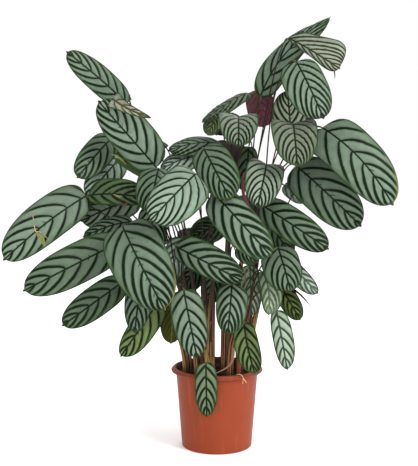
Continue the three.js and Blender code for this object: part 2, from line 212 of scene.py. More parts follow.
STEMS = (
    leafy(1, (-28, 12), (-62, 15, 430), 6.5, (
        leaf((-190, 60, 718), (-308, 0, 824), 58, face=(0.1, -1, 0.3), arch=0.06,
             pale=0.27, stripes=7.1, band=4.4),
        leaf((-124, -30, 589), (-238, -60, 723), 86, uneven=0.12, pale=0.34, band=5.2),
        leaf((-207, -62, 725), (-131, -88, 689), 36, bend=0.05, fold=0.6, lobe=0.04, widest=0.14,
             shoulder=5, taper=0.38, reach=0.08, tan=0.5, stripes=5, band=2.6, lean=1.4),
        leaf((-219, 60, 649), (-286, -30, 567), 64, pale=0.21, stripes=5.9, brown=0.8),
        leaf((-120, 90, 640), (-220, 200, 590), 78, face=(-0.4, 1, 0.8), pale=0.4),
    )),
    leafy(2, (-40, -10), (-85, 0, 380), 6, (
        leaf((-207, 85, 602), (-269, 0, 526), 64, pale=0.7, stripes=5.4),
        leaf((-264, -25, 530), (-138, -38, 526), 62, face=(0, -1, 0.6), uneven=-0.28,
             pale=0.07, yellow=0.05, stripes=5.9, band=5.4),
        leaf((-270, -15, 529), (-430, -80, 404), 86, bend=0.02, uneven=0.11, lobe=0.12,
             pale=0.3, stripes=6.2, band=4.8, brown=1),
        leaf((-165, 38, 521), (-286, 24, 473), 84, face=(-0.1, -1, 0.35), uneven=0.17,
             pale=0.38, yellow=0.05, stripes=5.4),
    )),
    leafy(3, (-58, 18), (-95, 20, 320), 6, (
        leaf((-197, -60, 439), (-388, -100, 345), 82, pale=0.18, stripes=6.2, band=5.2),
        leaf((-174, -4, 474), (-276, -24, 445), 50, face=(-0.2, -0.8, 0.6), pale=0.27),
        leaf((-190, -60, 359), (-310, -110, 276), 63, pale=0.14, stripes=6, band=5, brown=0.6),
        leaf((-200, 60, 430), (-330, 150, 350), 76, face=(-0.4, 1, 0.8)),
        leaf((-250, 85, 520), (-390, 145, 430), 78, face=(-0.4, 1, 0.8)),
    )),
    leafy(4, (-42, -38), (-78, -62, 350), 6, (
        leaf((-182, -170, 482), (-100, -215, 327), 114, arch=0.14, lobe=0.16, widest=0.42,
             pale=0.24, stripes=6.4, band=5.6, rim=1),
        leaf((-118, -62, 588), (-131, -150, 506), 82, uneven=-0.1, pale=0.2, stripes=5.9),
        leaf((-66, -150, 355), (-40, -130, 216), 68, widest=0.4, stripes=5.9),
        leaf((-72, -28, 443), (-102, -32, 353), 54, arch=0.04, pale=0.8, stripes=6),
    )),
    leafy(5, (-66, -22), (-88, -42, 290), 5, (
        leaf((-150, -100, 385), (-162, -150, 270), 54, pale=0.26, stripes=5.9),
        leaf((-116, -90, 325), (-193, -120, 216), 55, uneven=-0.15, pale=0.12, yellow=0.32, stripes=5.4),
        leaf((-93, -40, 318), (-95, -50, 227), 50, face=(0.2, 1, 0.3), pale=0.3, yellow=1),
    )),
    leafy(6, (-20, -25), (-30, -50, 430), 8, (
        leaf((-42, -155, 582), (-126, -240, 499), 92, arch=0.14, uneven=-0.12, lobe=0.15,
             pale=0.43, stripes=6.5, band=3.7),
        leaf((-82, -130, 439), (49, -170, 376), 63, uneven=-0.15, pale=0.25, band=5.8),
        leaf((10, 30, 632), (-101, 0, 622), 68, face=(-0.1, -0.6, 0.9), pale=0.28, stripes=5.9),
        leaf((-35, 12, 610), (-118, 0, 582), 60, face=(0, -0.8, 0.8), climb=0.2, pale=0.75, stripes=5.4),
    )),
    leafy(7, (-13, -48), (-8, -60, 420), 9, (
        leaf((-28, -80, 629), (25, -160, 532), 78, uneven=-0.1, lobe=0.14,
             pale=0.2, stripes=6.7, band=4.4),
        leaf((-7, -120, 542), (103, -195, 426), 77, uneven=0.12, pale=0.31, band=6.2),
        leaf((-23, -106, 201), (-21, -110, 90), 46, face=(0, -1, 0), leaves_at=0.35,
             pale=0.24, yellow=0.14, stripes=5.6, band=4.8),
    )),
    leafy(8, (14, 5), (22, 10, 520), 6.5, (
        leaf((64, 30, 740), (-31, 0, 680), 62, face=(-0.6, -0.5, 1), arch=0.04,
             pale=0.16, tan=0.1, stripes=7.2),
        leaf((0, 60, 700), (-19, 40, 652), 38, pale=0.8, yellow=0.6, stripes=5.9),
        leaf((43, -20, 691), (41, -110, 632), 80, fold=0.45, lobe=0.2, widest=0.36,
             pale=0.26, tan=0.12, stripes=6.9, band=3.6),
        leaf((86, 68, 748), (103, 145, 668), 60, face=(0, 1, 0.6), pale=1, stripes=6),
    )),
    leafy(9, (26, -55), (38, -75, 300), 7, (
        leaf((29, -105, 360), (20, -150, 266), 63, uneven=-0.1, widest=0.4,
             pale=0.33, stripes=6.2, band=5),
        leaf((54, -95, 279), (76, -95, 176), 52, face=(-0.3, -1, 0.1), fold=0.5,
             pale=0.13, yellow=0.32, stripes=5.6),
        leaf((39, -120, 436), (80, -125, 406), 38, pale=0.4, yellow=0.12, stripes=5.6),
        # Painted light: this leaf sits in the shade of the leaves above, and its pale is set high to lift
        # it
        leaf((90, -80, 382), (101, -121, 300), 46, face=(0.3, -1, 0.5), bend=-0.05, uneven=-0.3,
             pale=0.86, yellow=0.3, stripes=5.6),
    )),
    leafy(10, (48, -32), (75, -30, 360), 6, (
        leaf((90, -38, 513), (221, -110, 430), 66, pale=0.21, stripes=6.8, band=5.6, brown=0.6),
        leaf((122, -70, 430), (143, -150, 352), 77, uneven=0.1,
             pale=0.25, stripes=5.4, band=4.4, brown=0.5),
        leaf((140, -40, 400), (203, -90, 338), 38, uneven=0.2, pale=0.8, stripes=5.6),
        leaf((130, -30, 345), (170, -60, 278), 42, pale=0.04, yellow=0.35, stripes=5.6),
    )),
    leafy(11, (28, 18), (70, 25, 540), 6.5, (
        leaf((92, 42, 735), (235, 32, 897), 66, face=(-0.5, -1, 0.3), bend=-0.05, twist=-1,
             pale=0.27, stripes=6.7, lean=1.8),
        leaf((158, -40, 801), (209, -100, 687), 84, uneven=0.1, lobe=0.13,
             pale=0.34, stripes=7.1, band=4.4),
        leaf((144, -8, 850), (246, -48, 786), 62, fold=0.3, wave=0.05, uneven=-0.5, widest=0.75,
             shoulder=0.8, taper=3.5, climb=0.12, reach=0.12,
             pale=0.3, tan=0.28, stripes=7.5, start=0.4, band=3.2, lean=1.2),
        leaf((153, 20, 655), (146, 30, 747), 70, widest=0.4, pale=0.4, yellow=0.1, tan=0.2, stripes=5.9),
    )),
    leafy(12, (45, 0), (85, 0, 480), 6.5, (
        leaf((152, -45, 677), (154, -140, 594), 92, fold=0.45, lobe=0.2, widest=0.36,
             pale=0.16, tan=0.18, stripes=7.2, band=3.6, brown=0.6),
        leaf((214, -30, 669), (352, -80, 515), 103, bend=-0.05, uneven=0.06, lobe=0.16, ear=0.95,
             widest=0.43, shoulder=5, pale=0.27, band=5.6, rim=1),
        leaf((99, -50, 596), (77, -140, 515), 76, fold=0.4, lobe=0.2, widest=0.4,
             pale=0.42, tan=0.12, stripes=7.1, band=3.6),
        leaf((68, -16, 385), (72, -16, 278), 44, arch=0.02, leaves_at=0.5,
             pale=0.8, yellow=0.25, stripes=6),
    )),
    leafy(13, (68, 8), (105, 20, 400), 6, (
        leaf((165, 20, 590), (298, -15, 466), 98, uneven=0.01, shoulder=4.2,
             pale=0.22, stripes=6, band=5.4),
        leaf((118, -100, 305), (141, -100, 184), 42, uneven=-0.15, leaves_at=0.5,
             pale=0.72, yellow=0.12, stripes=5.8, band=4),
        # Painted light: this leaf sits in shade, and its pale is set high to lift it
        leaf((142, 45, 548), (188, 45, 512), 34, pale=1, stripes=4.5),
        leaf((190, 70, 560), (300, 180, 480), 78, face=(0.4, 1, 0.8)),
        leaf((120, 80, 410), (170, 220, 330), 76, face=(0.2, 1, 0.8), pale=0.3),
    )),
    leafy(14, (-45, 48), (-80, 70, 420), 6, (
        leaf((-120, 90, 430), (-200, 220, 370), 80, face=(-0.3, 1, 0.9)),
        leaf((-110, 80, 370), (-170, 200, 290), 72, face=(-0.3, 1, 0.9)),
        leaf((-190, 108, 740), (-270, 185, 770), 68, face=(-0.3, 1, 0.9), pale=0.4),
        leaf((-140, 64, 501), (-134, 60, 401), 62, arch=0.04, pale=0.55),
    )),
    leafy(15, (-15, 40), (-30, 75, 450), 7, (
        leaf((-60, 110, 560), (-110, 250, 500), 84, face=(-0.2, 1, 0.9), pale=0.4),
        leaf((-50, 100, 450), (-40, 250, 370), 82, face=(0, 1, 0.9)),
        leaf((-25, 66, 394), (-80, 82, 313), 60, pale=0.1),
        leaf((-4, 32, 390), (-19, 34, 287), 44, pale=0.1),
    )),
    leafy(16, (20, 48), (28, 75, 480), 7, (
        leaf((20, 100, 640), (20, 240, 570), 86, face=(0, 1, 0.9), pale=0.4),
        leaf((50, 110, 520), (70, 270, 430), 84, face=(0, 1, 0.9)),
        leaf((30, 90, 360), (40, 210, 270), 72, face=(0, 1, 0.9), pale=0.3),
        leaf((30, 95, 700), (0, 195, 650), 70, face=(0, 1, 0.9), reach=0.08),
        leaf((13, 38, 466), (-56, 22, 438), 60, face=(0, -1, 0.4), pale=0.02, tan=0.05),
    )),
    leafy(17, (46, 42), (80, 60, 460), 6, (
        leaf((120, 80, 480), (208, 200, 434), 78, face=(0.3, 1, 0.9)),
        leaf((85, 90, 590), (110, 230, 520), 80, face=(0.2, 1, 0.9)),
        leaf((68, 60, 628), (58, 52, 532), 44, arch=0.02, pale=0.1, stripes=5),
        leaf((95, 25, 488), (157, 5, 402), 56, pale=0.04),
    )),
    leafy(18, (66, 32), (100, 60, 520), 5.5, (
        leaf((230, 88, 640), (340, 180, 560), 80, face=(0.4, 1, 0.9), pale=0.4),
        leaf((160, 70, 790), (235, 130, 720), 76, face=(0.4, 1, 0.9)),
        leaf((158, 98, 700), (205, 215, 620), 80, face=(0.3, 1, 0.9)),
    )),
)


def scrap(wide, shade, places, flat=1, twist=0, ends=(0.6, 0.15), blade=None):
    """A dried strip: half its width, its colour and places, and its ends' shares of that width"""
    return dict(wide=wide, shade=shade, places=places, flat=flat, twist=twist, ends=ends, blade=blade)


# Dried strips and scraps, by the stem that carries them: their places are in millimetres, or shares
# of the length and half-width of the blade that they lie on
SCRAPS = {
    1: (
        scrap(9, (50, 68, 38), ((-122, -31, 587), (-130, -28, 574), (-150, -26, 574), (-170, -24, 584),
              (-188, -22, 593), (-208, -20, 604)), flat=0.12, ends=(0.3, 0.5)),
        scrap(2.2, (112, 128, 66), ((-186, -24, 595), (-194, -30, 604), (-204, -31, 613),
              (-216, -28, 615)), flat=0.3, twist=0.8, ends=(0.6, 0.3)),
    ),
    2: (
        scrap(0.9, (188, 156, 118), ((0.54, 0.55), (0.59, -0.05), (0.57, -0.25), (0.57, -0.8)), blade=2),
        scrap(6.5, (112, 116, 60), ((0.6, -0.1), (0.62, -0.45), (0.63, -0.85)), flat=0.06,
              ends=(0.3, 0.5), blade=2),
        scrap(1.8, (128, 118, 76), ((0.42, 0.1), (0.52, 0.3), (0.58, 0.25)), flat=0.3, blade=1),
        scrap(1.9, (92, 48, 26), ((0.55, 0.6), (0.62, 0.85), (0.69, 0.98)), flat=0.3, blade=1),
        scrap(1.6, (100, 62, 36), ((0.69, 0.7), (0.64, 0.85), (0.6, 0.98)), flat=0.3, blade=1),
    ),
    7: (
        scrap(5, (112, 106, 44), ((-17, -57, 160), (-19, -58, 192), (-23, -58, 208), (-28, -57, 222)),
              flat=0.3, twist=0.6, ends=(0.9, 0.2)),
        scrap(1.8, (150, 116, 80), ((-12, -55, 168), (-10, -56, 183), (-8, -56, 197), (-14, -55, 209)),
              flat=0.5, ends=(0.9, 0.4)),
    ),
    8: (
        scrap(1.5, (112, 84, 66), ((22, 8, 455), (37, -30, 419), (41, -35, 409), (55, -45, 382),
              (58, -50, 366), (57, -52, 350)), ends=(0.8, 0.7)),
    ),
    9: (
        scrap(4, (158, 112, 88), ((32, -60, 232), (34, -68, 214), (32, -72, 198), (24, -74, 186),
              (12, -76, 179), (-2, -80, 173), (-10, -86, 170)), flat=0.4, twist=1.5, ends=(0.8, 0.35)),
        scrap(1.2, (210, 160, 126), ((30, -60, 152), (40, -74, 169), (47, -80, 171), (52, -82, 167),
              (53, -81, 160), (52, -77, 150)), flat=0.7, ends=(1, 0.5)),
        scrap(0.9, (210, 160, 126), ((53, -81.5, 163), (57, -79, 157), (60, -74, 151)), flat=0.7,
              ends=(1, 0.5)),
    ),
    10: (
        scrap(4.5, (118, 62, 46), ((44, -42, 160), (44, -42, 175), (46, -41, 191), (43, -40, 207)),
              flat=0.4, twist=0.5, ends=(0.9, 0.3)),
        scrap(2.3, (36, 16, 14), ((84, -32, 372), (140, -52, 352), (166, -62, 335), (180, -66, 321),
              (194, -70, 303)), ends=(0.6, 0.1)),
    ),
    11: (
        scrap(3.6, (112, 62, 66), ((66, 22, 508), (54, -18, 532), (52, -22, 554), (54, -20, 577)),
              flat=0.5, ends=(0.8, 0.5)),
        scrap(1.5, (60, 54, 44), ((234, -38, 792), (235, -43, 780), (236, -46, 772), (233, -46, 764)),
              flat=0.5, twist=1, ends=(0.8, 0.1)),
    ),
    12: (
        scrap(5, (134, 146, 114), ((70, -2, 416), (60, -10, 398), (68, -14, 375), (80, -18, 346),
              (86, -20, 331)), flat=0.16, twist=5, ends=(0.4, 0.3)),
    ),
}


def unit(vectors):
    """Vectors of length 1, for one vector or rows of them"""
    return vectors / np.linalg.norm(vectors, axis=-1, keepdims=True)


def bezier(points, shares):
    """Places on a cubic curve"""
    t = np.asarray(shares, float)[:, None]
    first, second, third, fourth = (np.asarray(point, float) for point in points)
    near = (1 - t) ** 3 * first + 3 * (1 - t) ** 2 * t * second
    return near + 3 * (1 - t) * t ** 2 * third + t ** 3 * fourth


def ease(value, low, high):
    """Rises smoothly from 0 at low to 1 at high"""
    share = np.clip((value - low) / (high - low), 0, 1)
    return share * share * (3 - 2 * share)


def colour(*levels):
    """A linear colour from the 0 to 255 values that a picture shows"""
    shares = [level / 255 for level in levels]
    return *(x / 12.92 if x <= 0.04045 else ((x + 0.055) / 1.055) ** 2.4 for x in shares), 1


class Patches:
    """Collects grids of faces, each with a material and its places in the texture maps, into a mesh"""

    MAPS = ("OFBake", "leaf", "tone", "stripes", "edges", "tips")

    def __init__(self):
        self.points = []
        self.faces = []
        self.slots = []
        self.maps = {name: [] for name in self.MAPS}
        self.count = 0

    def grid(self, points, cell, slot, flipped=False, **maps):
        """Adds rows and columns of points; cell is the patch's own place in the baked picture"""
        rows, columns = points.shape[:2]
        corner = np.arange(rows * columns).reshape(rows, columns)
        quads = np.stack([corner[:-1, :-1], corner[:-1, 1:], corner[1:, 1:], corner[1:, :-1]], -1)
        quads = quads.reshape(-1, 4)
        if flipped:
            quads = quads[:, [0, 3, 2, 1]]
        left, low, right, high = cell
        across, along = np.meshgrid(np.linspace(left, right, columns), np.linspace(low, high, rows))
        maps["OFBake"] = np.stack([across, along], -1)
        for name in self.MAPS:
            places = np.broadcast_to(maps.get(name, (0.0, 0.0)), (rows, columns, 2))
            self.maps[name].append(places.reshape(-1, 2)[quads.ravel()])
        self.points.append(points.reshape(-1, 3))
        self.faces.append(quads + self.count)
        self.slots.append(np.full(len(quads), slot))
        self.count += rows * columns

    def build(self, name, materials):
        """The finished object"""
        points = np.concatenate(self.points).tolist()
        piece = meshed(name, points, np.concatenate(self.faces).tolist(), *materials)
        mesh = piece.data
        mesh.polygons.foreach_set("material_index", np.concatenate(self.slots))
        for map_name in self.MAPS:
            layer = mesh.uv_layers.new(name=map_name)
            layer.data.foreach_set("uv", np.concatenate(self.maps[map_name]).ravel())
        mesh.shade_smooth()
        return piece


def meshed(name, points, faces, *materials):
    """An object made from points in millimetres and faces"""
    mesh = bpy.data.meshes.new(name)
    mesh.from_pydata([(x * MM, y * MM, z * MM) for x, y, z in points], [], faces)
    for material in materials:
        mesh.materials.append(material)
    mesh.update()
    return placed(name, mesh)


def placed(name, data):
    """An object put in the scene"""
    made = bpy.data.objects.new(name, data)
    bpy.context.scene.collection.objects.link(made)
    return made


class Blade:
    """Where a blade lies: its midrib, and the directions across it and out of it"""

    def __init__(self, leaf):
        self.leaf = leaf
        self.base = np.array(leaf["base"], float)
        self.chord = np.array(leaf["tip"], float) - self.base
        self.length = np.linalg.norm(self.chord)
        ahead = self.chord / self.length
        face = np.array(leaf["face"], float)
        self.up = unit(face - face.dot(ahead) * ahead)
        self.side = np.cross(ahead, self.up)

    def rib(self, along):
        rise = self.leaf["arch"] * self.length * np.sin(np.pi * along ** ARCH_SKEW)
        sway = self.leaf["bend"] * self.length * np.sin(np.pi * along)
        straight = self.base + along[:, None] * self.chord
        return straight + rise[:, None] * self.up + sway[:, None] * self.side

    def axes(self, along):
        before = self.rib(np.maximum(0, along - SLOPE_STEP))
        after = self.rib(np.minimum(1, along + SLOPE_STEP))
        ahead = unit(after - before)
        level = unit(self.up - (ahead @ self.up)[:, None] * ahead)
        turn = (self.leaf["twist"] * (along - TWIST_START))[:, None]
        up = level * np.cos(turn) + np.cross(ahead, level) * np.sin(turn)
        return ahead, up, np.cross(ahead, up)

    def outline(self, along):
        widest = self.leaf["widest"]
        to_base = np.clip((widest - along) / widest, 0, 1)
        to_tip = np.clip((along - widest) / (1 - NIB / 2 - widest), 0, 1)
        body = (1 - to_base ** self.leaf["shoulder"]) * (1 - to_tip ** self.leaf["taper"])
        body = body ** OUTLINE_ROUND
        nib = NIB_WIDTH * np.minimum(1, (NIB_END - along) / NIB)
        foot = FOOT_WIDTH * (1 - along)
        return (body ** JOINING + nib ** JOINING + foot ** JOINING) ** (1 / JOINING)

    def surface(self):
        """The blade's middle surface and out directions, and what its pattern needs at each point"""
        leaf = self.leaf
        along = 0.5 - 0.5 * np.cos(np.pi * np.linspace(0, 1, ROWS + 1))
        ahead, up, side = self.axes(along)
        u = along[:, None]
        v = np.array([[-x for x in HALF_COLUMNS[:0:-1]] + list(HALF_COLUMNS)])
        share = self.outline(u)
        spread = 1 + leaf["uneven"] * np.sign(v)
        half = leaf["width"] / 2 * share * spread
        lobe = leaf["lobe"] * share * (1 - u) ** 2 * v ** 2 * (1 + leaf["ear"] * np.sign(v))
        narrowing = np.where(u > leaf["widest"], share ** TIP_NARROWING, 1)
        phase = self.phase(u - lobe, np.abs(v), spread * narrowing) + SIDE_OFFSET * ease(v, 0, SIDE_STEP)
        middle = self.rib(along)[:, None] + side[:, None] * (half * v)[..., None]
        middle = middle - ahead[:, None] * (lobe * self.length)[..., None]
        middle = middle + up[:, None] * self.lift(u, v, share, phase)[..., None]
        off_rib = half * np.abs(v)
        to_edge = np.minimum(half - off_rib, (1 - u) * self.length)
        thick = np.clip(leaf["band"] * crowding(middle, phase), 0, THICKEST)
        return middle, up, off_rib, to_edge, phase, thick, (v + 1) / 2 * np.ones_like(u), u

    def lift(self, u, v, share, phase):
        """How far the blade rises from flat: its fold and dome, its wavy margin and its pleats"""
        leaf = self.leaf
        from_rib = np.abs(v)
        lift = leaf["width"] / 2 * share * (leaf["fold"] * from_rib - DOME * v ** 2)
        lift = lift + leaf["wave"] * leaf["width"] * v ** 2 * np.sin(2 * np.pi * EDGE_WAVES * u + v)
        inner = ease(from_rib, *RELIEF_START) * (1 - ease(from_rib, *RELIEF_END))
        lift = lift + RELIEF * np.cos(2 * np.pi * phase) * inner * share
        return lift + RIPPLE * v ** 4 * np.sin(2 * np.pi * (phase / 2 + leaf["pale"]))

    def phase(self, reach, from_rib, spread):
        """How many stripes lie between the base and the stripe line through a point"""
        leaf = self.leaf
        ratio = leaf["width"] / 2 * spread / self.length
        lean = leaf["lean"] * (LINE_LEAN + TIP_LEAN * reach ** 2)
        shift = ratio * (lean * from_rib + LINE_CURVE * from_rib ** LINE_POWER)
        fanned = (reach - FAN_START * shift) / (1 + FAN_GROWTH * shift)
        full = (1 - FAN_START) / FAN_GROWTH
        origin = np.where(fanned < full, fanned, reach - shift)
        spaced = EVEN_SPACING * origin + (1 - EVEN_SPACING) * origin ** 3
        return leaf["stripes"] * spaced + leaf["start"]


def crowding(places, values):
    """How fast values change over a surface given by rows and columns of places, per millimetre"""
    down = np.gradient(places, axis=0)
    over = np.gradient(places, axis=1)
    by_row, by_column = np.gradient(values)
    down_down = (down * down).sum(-1)
    over_over = (over * over).sum(-1)
    down_over = (down * over).sum(-1)
    change = by_row ** 2 * over_over - 2 * by_row * by_column * down_over + by_column ** 2 * down_down
    area = np.maximum(down_down * over_over - down_over ** 2, LEAST_AREA)
    return np.sqrt(np.maximum(change, 0) / area)


def stalk_route(stem, leaf, blade, turn):
    """A stalk's line from the soil, round its stem and out to its blade, with its radius all along"""
    line = stem_line(stem)
    parting = leaf["leaves_at"]
    low_shares = np.linspace(0, parting, LOW_STEPS)
    low = bezier(line, low_shares)
    low[0, 2] -= BURIED
    fade = 1 - low_shares / parting
    offset = stem["radius"] * SHEATH_OFFSET * ease(fade, 0, 0.5)
    low += offset[:, None] * np.array([math.cos(turn), math.sin(turn), 0])
    start = low[-1]
    before, after = bezier(line, [parting - TANGENT_STEP, parting])
    tangent = unit(after - before)
    ends = np.array(HOLD_SHARES)
    ahead, up, _ = blade.axes(ends)
    under = blade.rib(ends) - up * (THICKNESS / 2 + HOLD_GAP)
    distance = np.linalg.norm(under[0] - start)
    curve = (
        start,
        start + tangent * distance * leaf["climb"],
        under[0] - ahead[0] * distance * leaf["reach"],
        under[0],
    )
    shares = np.linspace(0, 1, HIGH_STEPS)[1:]
    high = bezier(curve, shares)
    route = np.concatenate([low, high, under[1:]])
    sheath = stem["radius"] * SHEATH_SHARE
    low_radii = STALK_LOW + (sheath - STALK_LOW) * ease(fade, 0, 1)
    high_radii = STALK_LOW + (STALK_HIGH - STALK_LOW) * shares ** THINNING
    knee = ease(shares, KNEE_START - KNEE_EASE, KNEE_START)
    high_radii = high_radii + (KNEE_RADIUS - STALK_HIGH) * knee
    radii = np.concatenate([low_radii, high_radii[:-1], STALK_HIGH * np.array(HOLD_RADII)])
    return route, radii


def stem_line(stem):
    """The curve of a stem's middle above the soil"""
    start = np.array([*stem["root"], STEM_START], float)
    top = np.array(stem["top"], float)
    rise = np.array([0, 0, top[2] - start[2]])
    return start, start + rise * STEM_UPRIGHT, top - rise * STEM_LEAN, top


def tube(patches, route, radii, cell, slot, tint, sides=TUBE_SIDES, flat=1, twist=0):
    """A bar along a route, round or flattened and twisted; its material reads the tint"""
    tangents = unit(np.gradient(route, axis=0))
    # No route starts along this direction, so a normal can be made from it
    normal = unit(np.cross(tangents[0], NO_ROUTE))
    rows = []
    turns = np.linspace(0, twist, len(route))
    for place, tangent, radius, turn in zip(route, tangents, radii, turns):
        normal = unit(normal - normal.dot(tangent) * tangent)
        other = np.cross(tangent, normal)
        wide = np.cos(turn) * normal + np.sin(turn) * other
        thin = flat * np.cross(tangent, wide)
        angles = np.linspace(0, 2 * np.pi, sides + 1)[:, None]
        rows.append(place + radius * (np.cos(angles) * wide + np.sin(angles) * thin))
    points = np.stack(rows)
    travelled = np.concatenate([[0], np.cumsum(np.linalg.norm(np.diff(route, axis=0), axis=1))])
    along = (travelled / travelled[-1])[:, None] * np.ones(sides + 1)
    around = np.linspace(0, 1, sides + 1)[None] * np.ones_like(along)
    height = points[..., 2] * MM
    patches.grid(
        points, cell, slot,
        leaf=np.stack([along, around], -1),
        tone=np.array(tint[:2], float),
        stripes=np.array([tint[2], 0], float),
        edges=np.stack([height, travelled[:, None] * MM * np.ones(sides + 1)], -1),
    )


def add_blade(patches, leaf, blade, column, columns):
    """The upper side, the underside and the margins of one blade"""
    middle, up, off_rib, to_edge, phase, thick, across, along = blade.surface()
    out = up[:, None] * np.ones(middle.shape)
    groove = np.exp(-(off_rib / RIB_SPREAD) ** 2) * (1 - along) ** 0.5
    top = middle + out * (THICKNESS / 2 - RIB_DEPTH * GROOVE_SHARE * groove)[..., None]
    bottom = middle - out * (THICKNESS / 2 + RIB_DEPTH * groove)[..., None]
    wear = leaf["brown"] + RIM_STEP * leaf["rim"]
    maps = dict(
        leaf=np.stack([phase / PHASE_SCALE, across], -1),
        tone=np.array([leaf["pale"], leaf["yellow"]]),
        stripes=np.stack([thick, np.full_like(thick, leaf["tan"])], -1),
        edges=np.stack([off_rib, to_edge], -1) / EDGE_SCALE,
        tips=np.stack([along * np.ones_like(across), np.full_like(across, wear)], -1),
    )
    left = column / columns + CELL_GAP
    right = (column + 1) / columns - CELL_GAP
    patches.grid(top, (left, TOPS_LOW, right, 1 - CELL_GAP), TOP, **maps)
    patches.grid(bottom, (left, UNDERS_LOW, right, TOPS_LOW - CELL_GAP), UNDER, flipped=True, **maps)
    for edge, first, second in ((0, bottom, top), (-1, top, bottom)):
        strip = np.stack([first[:, edge], second[:, edge]], 1)
        start = left - MARGIN if edge == 0 else right
        own = {name: np.stack([value[:, edge]] * 2, 1) if value.ndim == 3 else value
               for name, value in maps.items()}
        patches.grid(strip, (start, TOPS_LOW, start + MARGIN, 1 - CELL_GAP), TOP, **own)


def leafy_stem(stem, materials):
    """A stem with its stalks, blades and dried strips, as one piece that stands for its solid"""
    patches = Patches()
    leaves = stem["leaves"]
    scraps = SCRAPS.get(stem["number"], ())
    rows = len(leaves) + 1 + len(scraps)
    band = (UNDERS_LOW - CELL_GAP) / rows
    cells = [(CELL_GAP, band * row + CELL_GAP, 1 - CELL_GAP, band * (row + 1)) for row in range(rows)]
    for index, leaf in enumerate(leaves):
        blade = Blade(leaf)
        add_blade(patches, leaf, blade, index, len(leaves))
        turn = 2 * math.pi * (index + FIRST_TURN) / len(leaves)
        route, radii = stalk_route(stem, leaf, blade, turn)
        tube(patches, route, radii, cells[index], STALK, (0, (index * KIND_STEP) % 1, 0))
    core = bezier(stem_line(stem), np.linspace(0, 1, CORE_STEPS))
    core[0, 2] -= BURIED
    radii = np.linspace(CORE_SHARE * stem["radius"], CORE_TOP, CORE_STEPS)
    radii[-1] = CORE_END
    tube(patches, core, radii, cells[len(leaves)], STALK, (0, CORE_KIND, 0))
    for strip, cell in zip(scraps, cells[len(leaves) + 1:]):
        add_scrap(patches, strip, leaves, cell)
    piece = patches.build(stem["node"] + "_looks", materials)
    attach(piece, "root")
    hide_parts(stem["node"])


def add_scrap(patches, strip, leaves, cell):
    """A dried strip, free along its own places or lying on a blade"""
    places = np.array(strip["places"], float)
    if strip["blade"] is not None:
        middle, up = Blade(leaves[strip["blade"]]).surface()[:2]
        rows = np.arccos(1 - 2 * places[:, 0]) / np.pi * ROWS
        columns = (places[:, 1] + 1) / 2 * (middle.shape[1] - 1)
        rows = rows.round().astype(int)
        places = middle[rows, columns.round().astype(int)] + up[rows] * SCRAP_LIFT
    steps = np.linspace(0, len(places) - 1, SCRAP_STEPS)
    route = np.stack([np.interp(steps, np.arange(len(places)), places[:, k]) for k in range(3)], 1)
    for _ in range(SCRAP_SMOOTHING):
        route[1:-1] = (route[:-2] + 2 * route[1:-1] + route[2:]) / 4
    start, end = strip["ends"]
    widths = (start, 1, 0.9, end)
    radii = strip["wide"] * np.interp(np.linspace(0, 1, SCRAP_STEPS), SCRAP_SHARES, widths)
    tube(
        patches, route, radii, cell, DRIED, colour(*strip["shade"])[:3],
        sides=SCRAP_SIDES, flat=strip["flat"], twist=strip["twist"],
    )


def ring(radius, height, count, shift=0):
    """Points round the Z axis, turned by a share of their spacing"""
    angles = [2 * math.pi * (k + shift) / count for k in range(count)]
    return [(radius * math.cos(angle), radius * math.sin(angle), height) for angle in angles]


def neighbours(rings, count):
    """The numbers of every two points that stand side by side in rings of points"""
    return [(row * count + k, row * count + (k + 1) % count) for row in range(rings) for k in range(count)]


def turned(name, profile, sides, material):
    """A closed shape of revolution about the Z axis, from its profile's radii and heights"""
    points = [point for radius, height in profile for point in ring(radius, height, sides)]
    faces = [(a, b, b + sides, a + sides) for a, b in neighbours(len(profile) - 1, sides)]
    last = len(points) - sides
    points += [(0, 0, profile[0][1]), (0, 0, profile[-1][1])]
    for a, b in neighbours(1, sides):
        faces.append((len(points) - 2, b, a))
        faces.append((len(points) - 1, last + a, last + b))
    return meshed(name, points, faces, material)


def arc(centre, radius, start, end, steps):
    """Points of a round stretch of a profile, between two angles in degrees"""
    angles = np.radians(np.linspace(start, end, steps))
    return [(centre[0] + radius * math.cos(a), centre[1] + radius * math.sin(a)) for a in angles]


